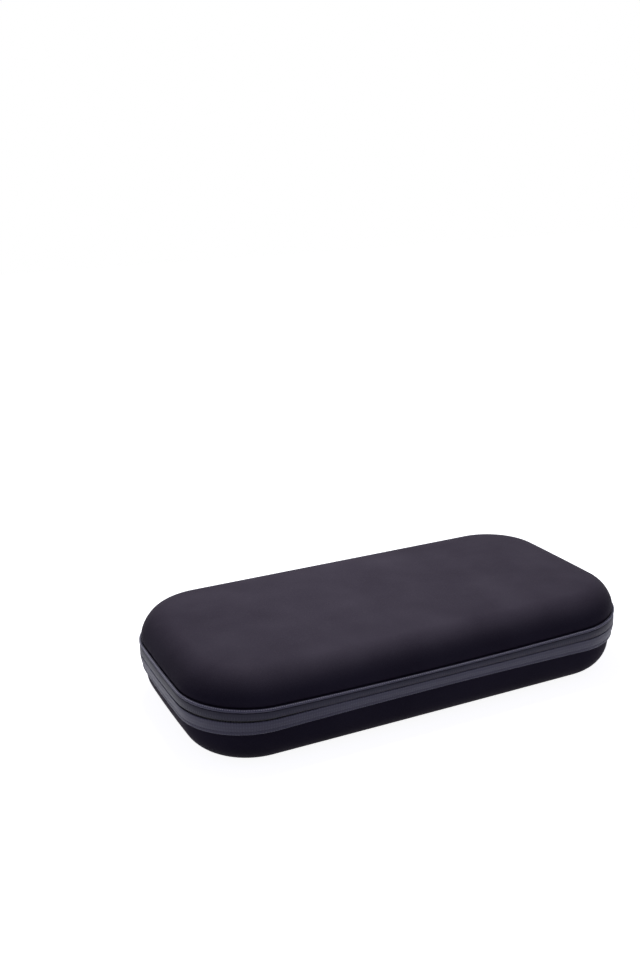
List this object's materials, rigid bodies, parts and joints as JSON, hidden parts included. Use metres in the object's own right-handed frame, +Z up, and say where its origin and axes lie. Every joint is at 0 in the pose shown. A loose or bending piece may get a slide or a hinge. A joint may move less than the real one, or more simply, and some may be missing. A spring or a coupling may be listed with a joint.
{
  "type": "zipped hard case for a stethoscope",
  "caption": "Moulded two-shell hard case with rounded corners, a zip round three sides, a folding fabric spine and a net pocket in the lid.",
  "frame": {"origin": "on the surface the closed case rests on, under the middle of the zip band", "axes": "+X along the case's length to the right as seen from the front, +Y from the front to the spine, +Z up through the lid"},
  "size_m": [0.29, 0.1545, 0.058],
  "materials": {
    "cover_fabric": "matte",
    "foam": "matte",
    "lining_fabric": "matte",
    "binding_fabric": "matte",
    "zip_tape": "matte",
    "zip_coil": "satin",
    "thread": "matte",
    "spine_fabric": "matte",
    "net": "matte",
    "slider_metal": "satin"
  },
  "bodies": {
    "base": {"base_outer_cover": "cover_fabric", "base_foam_shell": "foam", "base_lining": "lining_fabric", "base_binding": "binding_fabric", "zip_tape_lower": "zip_tape", "zip_coil_lower": "zip_coil", "spine_hem_lower": "spine_fabric", "base_seam_thread": "thread"},
    "spine": {"spine_web": "spine_fabric", "spine_lining": "lining_fabric", "tail_tape_left_lower": "zip_tape", "tail_tape_left_upper": "zip_tape", "tail_tape_right_lower": "zip_tape", "tail_tape_right_upper": "zip_tape", "tail_coil_left": "zip_coil", "tail_coil_right": "zip_coil", "zip_stops": "slider_metal"},
    "lid": {"lid_outer_cover": "cover_fabric", "lid_foam_shell": "foam", "lid_lining": "lining_fabric", "lid_binding": "binding_fabric", "zip_tape_upper": "zip_tape", "zip_coil_upper": "zip_coil", "spine_hem_upper": "spine_fabric", "lid_seam_thread": "thread", "mesh_pocket": "net", "pocket_elastic": "binding_fabric"},
    "slider_left": {"slider_left_body": "slider_metal"},
    "pull_left": {"slider_left_pull": "slider_metal"},
    "slider_right": {"slider_right_body": "slider_metal"},
    "pull_right": {"slider_right_pull": "slider_metal"}
  },
  "joints": [
    {"name": "base_fold", "type": "hinge", "parent": "base", "child": "spine", "pos_m": [0, 0.0746, 0.0267], "axis": [-1, 0, 0], "range_deg": [0, 90]},
    {"name": "lid_fold", "type": "hinge", "parent": "spine", "child": "lid", "pos_m": [0, 0.0746, 0.0363], "axis": [-1, 0, 0], "range_deg": [0, 90]},
    {"name": "slider_left_run", "type": "slide", "parent": "spine", "child": "slider_left", "axis": [-1, 0, 0], "range_m": [0, 0.024]},
    {"name": "slider_right_run", "type": "slide", "parent": "spine", "child": "slider_right", "axis": [1, 0, 0], "range_m": [0, 0.024]},
    {"name": "pull_left_flip", "type": "hinge", "parent": "slider_left", "child": "pull_left", "pos_m": [-0.07, 0.07745, 0.0315], "axis": [0, 0, 1], "range_deg": [0, 180]},
    {"name": "pull_right_flip", "type": "hinge", "parent": "slider_right", "child": "pull_right", "pos_m": [0.07, 0.07745, 0.0315], "axis": [0, 0, -1], "range_deg": [0, 180]}
  ],
  "couplings": [
    {"joint": "lid_fold", "follows": "base_fold", "ratio": 1}
  ]
}
